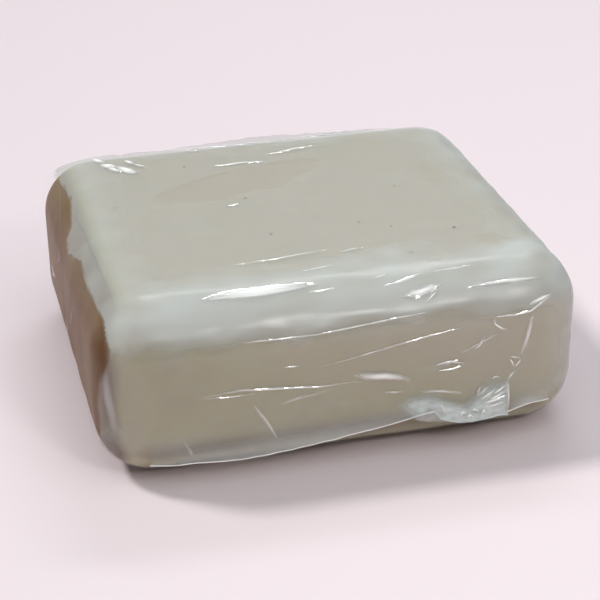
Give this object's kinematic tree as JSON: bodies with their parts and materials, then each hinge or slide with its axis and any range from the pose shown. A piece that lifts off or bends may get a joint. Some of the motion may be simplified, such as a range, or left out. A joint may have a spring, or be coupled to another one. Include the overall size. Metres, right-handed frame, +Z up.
{
  "type": "wrapped bar of soap",
  "caption": "Rounded rectangular bar of pale hand soap, tightly wrapped in one sheet of clear creased film that is gathered at the corners and folded under the base.",
  "frame": {"origin": "middle of the overall box in plan, on the flat face of folded film that the bar rests on", "axes": "+X along the bar's length, +Y away from the viewer across its width, +Z up out of its top face"},
  "size_m": [0.0815, 0.0742, 0.0312],
  "materials": {
    "soap": "smooth, milky and slightly translucent cast soap",
    "film": "clear glossy cling film, whiter where it is creased or doubled"
  },
  "bodies": {
    "root": {"soap_bar": "soap", "film_wrap": "film"}
  },
  "joints": []
}
